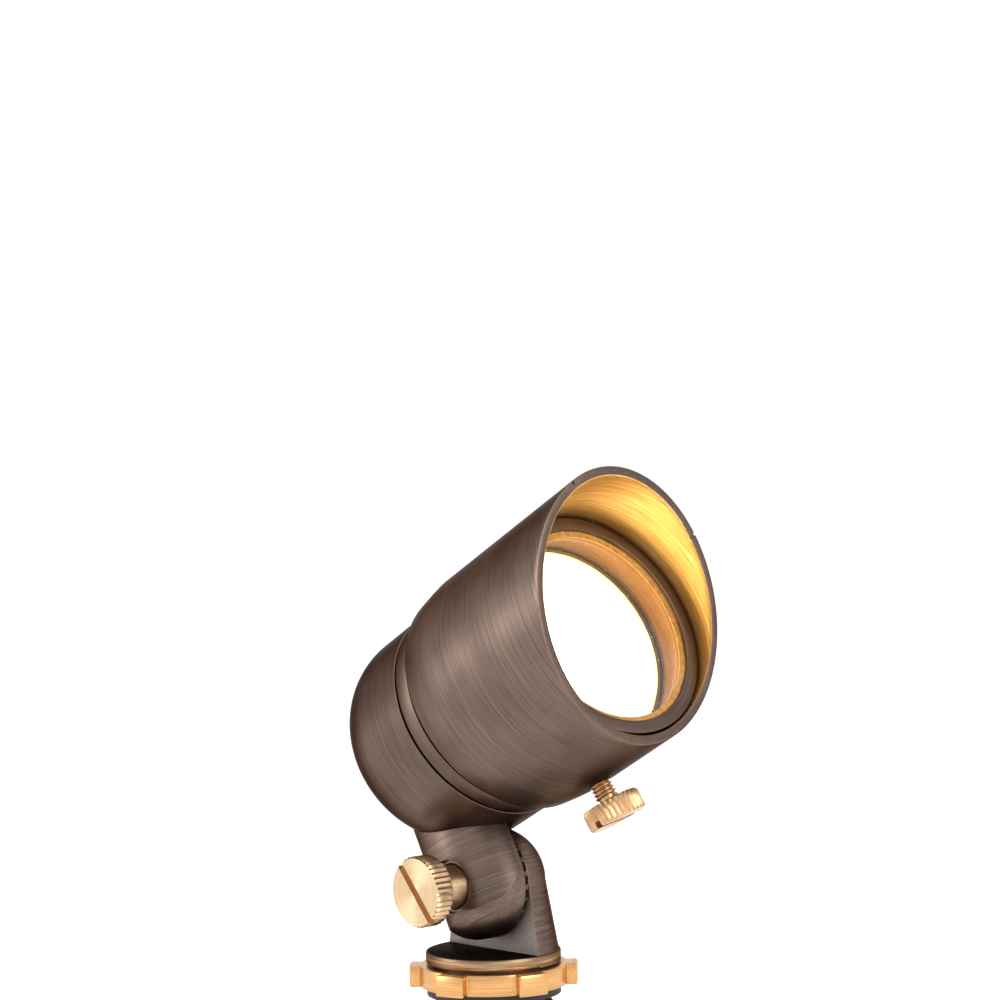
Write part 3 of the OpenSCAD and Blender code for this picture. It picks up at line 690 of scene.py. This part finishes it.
def neckBlank(size, toBolt):
    # Round neck with a domed top, which turns into the knuckle's half round below the bolt
    knuckle, rounded = size["knuckleRadius"], size["knuckleRound"]
    flat = knuckle - rounded
    side = arc(flat, flat, rounded, 0, 90, steps=12)
    half = turned([(0, -spare), (knuckle, -spare), (knuckle, flat)] + side[1:] + [(0, knuckle)], steps=128)
    body = combined(moved(half, toBolt), block((-far, -far, 0), (far, far, far)), "UNION")
    dome = arc(0, size["neckTop"], knuckle, 0, 90, steps=20)
    column = turned([(0, -knuckle - spare), (knuckle, -knuckle - spare)] + dome[:-1]
                    + [(0, size["neckTop"] + knuckle)], steps=128)
    neck = combined(column, body, "INTERSECT")
    behind = block((-far, -size["faceGap"], -far), (far, far, size["cavityFloor"]))
    return combined(neck, behind, "DIFFERENCE")


def lampCavity(size):
    # Room inside the bell's wall, with a flat floor over the neck
    centre, rounded = size["rearRadius"] - size["round"], size["round"] - size["wall"]
    front = size["boreStart"] + size["boreOverlap"]
    side = arc(centre, size["start"], rounded, -90, 0, steps=16)
    cavity = turned([(0, size["start"] - rounded)] + side + [(centre + rounded, front), (0, front)], steps=96)
    cutOff(cavity, (axisHeight - size["cavityFloor"], 0, 0), (1, 0, 0))
    return cavity


def spigotBore(size):
    # Bore for the barrel's spigot, wider at its mouth for the seal
    bore, front = size["boreRadius"], size["front"] - size["ringLength"]
    mouth = bore + size["ringGroove"]
    return turned([(0, size["boreStart"]), (bore, size["boreStart"]), (bore, front), (mouth, front),
                   (mouth, size["front"] + spare), (0, size["front"] + spare)], steps=128)


def lugRelief(size):
    # Room under the bell in which the foot's lug moves
    side = arc(0, 0, size["relief"], -90, 90, steps=32)
    ball = turned([(0, -size["relief"])] + side[1:-1] + [(0, size["relief"])], steps=96)
    return combined(ball, block((-far, -size["faceGap"], -far), (far, far, far)), "INTERSECT")


def boltSeat(size):
    # Pocket in the toothed face, the bolt's hole, the seal's seat and the spot face
    pocket, hole, seat = size["pocketRadius"], size["boltHole"], size["seatRadius"]
    return turned([(0, 0), (pocket, 0), (pocket, size["pocketDepth"]), (hole, size["pocketDepth"]),
                   (hole, size["seatDepth"]), (seat, size["seatDepth"]), (seat, size["spotFace"]),
                   (size["spotRadius"], size["spotFace"]), (size["spotRadius"], size["spotEnd"]),
                   (0, size["spotEnd"])], steps=96)


def makeCasting(size):
    toLamp = headPlace.inverted() @ lampPlace
    toBolt = turnedBy(90, "X")
    casting = combined(moved(bellBlank(size), toLamp), neckBlank(size, toBolt), "UNION")
    casting = combined(casting, moved(lampCavity(size), toLamp), "DIFFERENCE")
    casting = combined(casting, moved(spigotBore(size), toLamp), "DIFFERENCE")
    casting = combined(casting, lugRelief(size), "DIFFERENCE")
    casting = combined(casting, moved(boltSeat(size), toBolt), "DIFFERENCE")
    faceAt = Matrix.Translation((0, -size["faceGap"], 0)) @ turnedBy(-90, "X")
    added(casting, moved(toothRing(teethSize), faceAt))
    for face in casting.faces:
        middle = toLamp.inverted() @ face.calc_center_median()
        face.material_index = 0 if fromAxis(middle) < size["bellRadius"] + size["bellNear"] else 1
    finished(casting, "head_casting", headPlace, "head", ["rear_housing"],
             [bellBronze, neckBronze], size["sharpAngle"])


makeCasting(castingSize)
print("head casting: done")

# Foot casting: disc, half-round lug with its teeth, and the threaded stem with the way for the supply wires
footSize = {"stemRadius": 10.45, "stemEnd": -8.35, "pitch": 1.814, "threadStart": 0.6, "threadTurns": 4,
            "chamferIn": 0.3, "chamferUp": 0.5, "boreRadius": 5, "boreTop": 5.15, "foot": 5.65,
            "discRadius": 12, "discThickness": 2, "discEdge": 11.5, "pivotHeight": 14.2, "lugRadius": 9.6,
            "wayRadius": 2.6, "wayEnd": 3.6, "wayBehind": 3.5, "pocketRadius": 5.4, "pocketDepth": 3.4,
            "boltHole": 3.05, "edgeRound": 0.3, "facing": 0.9, "discNear": 0.2}


def stemBlank(size, foot):
    # Root of the thread with a chamfered end, and the plain part above it
    root, radius, end = threadRoot(size["stemRadius"], size["pitch"]), size["stemRadius"], size["stemEnd"]
    inward, up = size["chamferIn"], size["chamferUp"]
    return turned([(0, end), (root - inward, end), (root, end + up), (root, 0), (radius - inward, 0),
                   (radius - inward, up), (radius, up), (radius, foot + up), (0, foot + up)], steps=144)


def makeFoot(size):
    foot, top, lugRadius = size["foot"], size["foot"] + size["pivotHeight"], size["lugRadius"]
    discTop = foot + size["discThickness"]
    side = arc(0, top, lugRadius, 0, 90, steps=24)
    lug = turned([(0, foot), (size["discRadius"], foot), (lugRadius, top)] + side[1:-1]
                 + [(0, top + lugRadius)], steps=144)
    cutOff(lug, (0, 0, 0), (0, -1, 0))
    softened(lug, size["edgeRound"])
    disc = rod(size["discRadius"], foot, discTop, steps=144)
    softened(disc, size["edgeRound"])
    casting = combined(disc, lug, "UNION")
    casting = combined(casting, stemBlank(size, foot), "UNION")
    bore = rod(size["boreRadius"], size["stemEnd"] - spare, size["boreTop"], steps=96)
    casting = combined(casting, bore, "DIFFERENCE")
    way = rod(size["wayRadius"], foot - 2 * spare, top - size["wayEnd"], steps=48)
    casting = combined(casting, moved(way, Matrix.Translation((0, size["wayBehind"], 0))), "DIFFERENCE")
    toBolt = Matrix.Translation((0, 0, top)) @ turnedBy(90, "X")
    pocket = rod(size["pocketRadius"], -size["pocketDepth"], spare, steps=96)
    casting = combined(casting, moved(pocket, toBolt), "DIFFERENCE")
    hole = rod(size["boltHole"], -far, far, steps=64)
    casting = combined(casting, moved(hole, toBolt), "DIFFERENCE")
    added(casting, threadRidge(size["stemRadius"], size["pitch"], size["stemEnd"] + size["threadStart"],
                               size["threadTurns"]))
    tilt = Matrix.Rotation(math.atan2(lampWay.z, lampWay.x), 4, "Z")
    added(casting, moved(toothRing(teethSize), toBolt @ tilt))
    for face in casting.faces:
        middle = face.calc_center_median()
        if face.normal.z > size["facing"] and middle.z < discTop + size["discNear"]:
            face.material_index = 1
        elif face.normal.y < -size["facing"] and middle.z > discTop:
            face.material_index = 2
        elif foot < middle.z < discTop and fromAxis(middle) > size["discEdge"]:
            face.material_index = 3
    finished(casting, "foot_casting", footPlace, "base", ["mounting_bracket"],
             [lugBronze, discPatina, lugFacePaintedLight, discEdge])


makeFoot(footSize)
print("foot casting: done")

# Knuckle bolt: slotted and knurled head on a shoulder, with a relief turned under the head
boltSize = {"headRadius": 6.2, "headThickness": 3.7, "reach": 18, "knurls": 40, "knurlDepth": 0.35,
            "edge": 0.35, "overlap": 0.3, "reliefStart": 0.9, "reliefEnd": 0.7, "reliefDepth": 0.35,
            "shoulderRadius": 3.8, "shoulderEnd": 7.85, "threadRadius": 3, "threadEnd": -8.9, "chamfer": 0.4,
            "slotWidth": 1.3, "slotDepth": 1.2, "slotTurn": -140}


def makeBolt(size):
    back = size["reach"] - size["headThickness"]
    thread, shoulder, chamfer = size["threadRadius"], size["shoulderRadius"], size["chamfer"]
    relief = shoulder - size["reliefDepth"]
    shank = turned([(0, size["threadEnd"]), (thread - chamfer, size["threadEnd"]),
                    (thread, size["threadEnd"] + chamfer), (thread, size["shoulderEnd"]),
                    (shoulder, size["shoulderEnd"]), (shoulder, back - size["reliefStart"]),
                    (relief, back - size["reliefEnd"]), (relief, back + size["overlap"]),
                    (0, back + size["overlap"])], steps=96)
    bm = combined(knurledHead(size, back), shank, "UNION")
    bm = slotted(bm, size, size["reach"], size["slotTurn"])
    finished(bm, "bolt_knurled", boltPlace, "bolt", ["knuckle_bolt"], [boltBrass])


makeBolt(boltSize)

# Thumbscrew: threaded stub and knurled, slotted head, bored at its end for the soft tip
thumbSize = {"headRadius": 5.25, "headThickness": 3.6, "headStart": 25.6, "knurls": 34, "knurlDepth": 0.35,
             "edge": 0.35, "overlap": 0.3, "threadRadius": 2, "pitch": 0.7, "threadShort": 0.5, "start": 20.8,
             "tipRadius": 1.25, "tipEnd": 21.55, "slotWidth": 1.2, "slotDepth": 1.2}


def makeThumbscrew(size):
    start, headStart, pitch = size["start"], size["headStart"], size["pitch"]
    root, top = threadRoot(size["threadRadius"], pitch), headStart + size["overlap"]
    shank = turned([(0, size["tipEnd"]), (size["tipRadius"], size["tipEnd"]), (size["tipRadius"], start),
                    (root, start), (root, top), (0, top)], steps=48)
    bm = combined(knurledHead(size, headStart), shank, "UNION")
    bm = slotted(bm, size, headStart + size["headThickness"])
    turns = int((headStart - start) / pitch) - size["threadShort"]
    added(bm, threadRidge(size["threadRadius"], pitch, start + pitch / 2, turns))
    finished(bm, "thumbscrew_knurled", thumbPlace, "thumb", ["thumbscrew"], [thumbBrass])


makeThumbscrew(thumbSize)
print("screws: done")

# Locknut: six square lobes on a ring
nutSize = {"radius": 15, "lobes": 6, "lobeHeight": 1.8, "lobeAngle": 22, "turn": -25.5, "bottom": 1.5,
           "top": 5.25, "bore": 10.5, "sideNear": 0.1, "edgeRound": 0.28}


def makeLocknut(size):
    bore, root = size["bore"], size["radius"] - size["lobeHeight"]
    bm = turned([(bore, size["bottom"]), (root, size["bottom"]), (root, size["top"]), (bore, size["top"])],
                steps=180)
    spacing = 360 / size["lobes"]
    outer = []
    for face in bm.faces:
        middle = face.calc_center_median()
        angle = math.degrees(math.atan2(middle.y, middle.x)) % spacing
        if fromAxis(middle) > root - size["sideNear"] and angle < size["lobeAngle"]:
            outer.append(face)
    made = bmesh.ops.extrude_face_region(bm, geom=outer)
    lobes = [item for item in made["geom"] if isinstance(item, bmesh.types.BMVert)]
    bmesh.ops.scale(bm, vec=(size["radius"] / root, size["radius"] / root, 1), verts=lobes)
    bmesh.ops.delete(bm, geom=outer, context="FACES_ONLY")
    bmesh.ops.recalc_face_normals(bm, faces=bm.faces)
    softened(bm, size["edgeRound"])
    turn = footPlace @ turnedBy(size["turn"], "Z")
    finished(bm, "locknut_lobed", turn, "nut", ["locknut"], [nutBrass])


makeLocknut(nutSize)
print("locknut: done")

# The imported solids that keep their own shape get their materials
carried = {
    "stem_grommet": rubber, "stem_gasket": rubber, "knuckle_washer": steel, "bolt_seal": rubber,
    "lamp_socket": ceramic, "socket_contacts": nutBrass, "socket_bracket": steel, "socket_screws": steel,
    "bracket_screws": steel, "lead_a": silicone, "lead_b": silicone, "lead_splices": redNylon,
    "lamp_reflector": mirrorGlass, "lamp_cover": coverGlow, "lamp_capsule": capsuleGlow, "lamp_pins": steel,
    "barrel_o_ring": rubber, "lens_gasket": amberSilicone, "shroud_ring": rubber,
    "thumbscrew_tip": naturalNylon,
}
for nodeName, material in carried.items():
    node = frame["nodes"][nodeName]
    if not node.material_slots:
        node.data.materials.append(material)
    for slot in node.material_slots:
        slot.material = material
print("packed solids: done")

# Glow of the lamp on the shroud's inside: a warm disc of light just in front of the lens
glowSize = {"place": 48.6, "radius": 15.5, "power": 0.13, "colour": "#ffd880"}


def makeGlow(size):
    light = bpy.data.lights.new("lamp_glow", "AREA")
    light.shape = "DISK"
    light.size = 2 * size["radius"] * mm
    light.energy = size["power"]
    light.color = linear(size["colour"])[:3]
    glow = newObject("lamp_glow", light)
    glow.location = lampPlace @ Vector((0, 0, size["place"])) * mm
    glow.rotation_euler = lampWay.to_track_quat("-Z", "Y").to_euler()
    glow.visible_camera = False
    glow.visible_glossy = False
    glow.visible_transmission = False
    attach(glow, "barrel")


makeGlow(glowSize)

# Camera as solved from the photo, floor and studio light, with powers in watts
viewSize = {"azimuth": 47.32, "elevation": 0.68, "distance": 487.33, "height": 87.24, "side": 3.22,
            "roll": -1.452, "focal": 99.03, "sensorWidth": 36, "clipStart": 0.01, "clipEnd": 20}
stageSize = {"floorSize": 4000, "floorColour": "#e8e8e8", "floorGlow": 0.62, "worldLight": 0.55}
lamps = [
    {"name": "soft_left", "turn": -35, "rise": 15, "far": 900, "size": 500, "power": 2.6},
    {"name": "soft_right", "turn": 95, "rise": 25, "far": 900, "size": 500, "power": 4.0},
    {"name": "soft_top", "turn": 30, "rise": 80, "far": 800, "size": 600, "power": 1.5},
]


def away(turn, rise):
    # Direction from the object, with turns counted as the camera's azimuth is
    a, e = math.radians(turn), math.radians(rise)
    return Vector((math.sin(a) * math.cos(e), -math.cos(a) * math.cos(e), math.sin(e)))


def makeCamera(size):
    camera = newObject("camera", bpy.data.cameras.new("camera"))
    camera.data.lens = size["focal"]
    camera.data.sensor_width = size["sensorWidth"]
    camera.data.clip_start = size["clipStart"]
    camera.data.clip_end = size["clipEnd"]
    back = away(size["azimuth"], size["elevation"])
    right = Vector((math.cos(math.radians(size["azimuth"])), math.sin(math.radians(size["azimuth"])), 0))
    up = back.cross(right)
    target = right * size["side"] + Vector((0, 0, size["height"]))
    turn = Matrix((right, up, back)).transposed().to_4x4() @ turnedBy(size["roll"], "Z")
    camera.matrix_world = Matrix.Translation((target + back * size["distance"]) * mm) @ turn
    bpy.context.scene.camera = camera


def seenDirectly(tree):
    # One where the camera, a reflection or a view through glass looks straight at this material
    path = addNode(tree, "ShaderNodeLightPath")
    first = addNode(tree, "ShaderNodeMath", {0: path.outputs["Is Camera Ray"],
                                             1: path.outputs["Is Glossy Ray"]}, operation="MAXIMUM")
    return addNode(tree, "ShaderNodeMath", {0: first.outputs[0], 1: path.outputs["Is Transmission Ray"]},
                   operation="MAXIMUM").outputs[0]


def makeFloor(size):
    # Matt white paper sweep, which shows white and keeps the soft shadow
    bm = bmesh.new()
    bmesh.ops.create_grid(bm, x_segments=1, y_segments=1, size=size["floorSize"] / 2 * mm)
    bmesh.ops.translate(bm, vec=(0, 0, cadBox[0].z), verts=bm.verts)
    floor = newObject("floor", meshOf(bm, "floor"))
    material, tree, shader = newMaterial("mattPaper", Roughness=0.9)
    shader.inputs["Base Color"].default_value = linear(size["floorColour"])
    shader.inputs["Specular IOR Level"].default_value = 0
    glow = addNode(tree, "ShaderNodeEmission", {"Color": (1, 1, 1, 1), "Strength": size["floorGlow"]})
    lit = addNode(tree, "ShaderNodeAddShader", {0: shader.outputs[0], 1: glow.outputs[0]})
    both = addNode(tree, "ShaderNodeMixShader", {0: seenDirectly(tree), 1: shader.outputs[0],
                                                 2: lit.outputs[0]})
    tree.links.new(both.outputs[0], tree.nodes["Material Output"].inputs["Surface"])
    floor.data.materials.append(material)


def makeLight(size):
    world = bpy.data.worlds.new("studio")
    bpy.context.scene.world = world
    world.use_nodes = True
    tree = world.node_tree
    tree.nodes.clear()
    soft = addNode(tree, "ShaderNodeBackground", {"Color": (1, 1, 1, 1), "Strength": size["worldLight"]})
    white = addNode(tree, "ShaderNodeBackground", {"Color": (1, 1, 1, 1), "Strength": 1})
    both = addNode(tree, "ShaderNodeMixShader", {0: seenDirectly(tree), 1: soft.outputs[0],
                                                 2: white.outputs[0]})
    addNode(tree, "ShaderNodeOutputWorld", {"Surface": both.outputs[0]})
    centre = (cadBox[0] + cadBox[1]) / 2
    for lamp in lamps:
        light = bpy.data.lights.new(lamp["name"], "AREA")
        light.size = lamp["size"] * mm
        light.energy = lamp["power"]
        obj = newObject(lamp["name"], light)
        way = away(lamp["turn"], lamp["rise"])
        obj.location = centre + way * lamp["far"] * mm
        obj.rotation_euler = way.to_track_quat("Z", "Y").to_euler()
    bpy.context.scene.view_settings.view_transform = "Standard"


makeCamera(viewSize)
makeFloor(stageSize)
makeLight(stageSize)
print("stage: done")
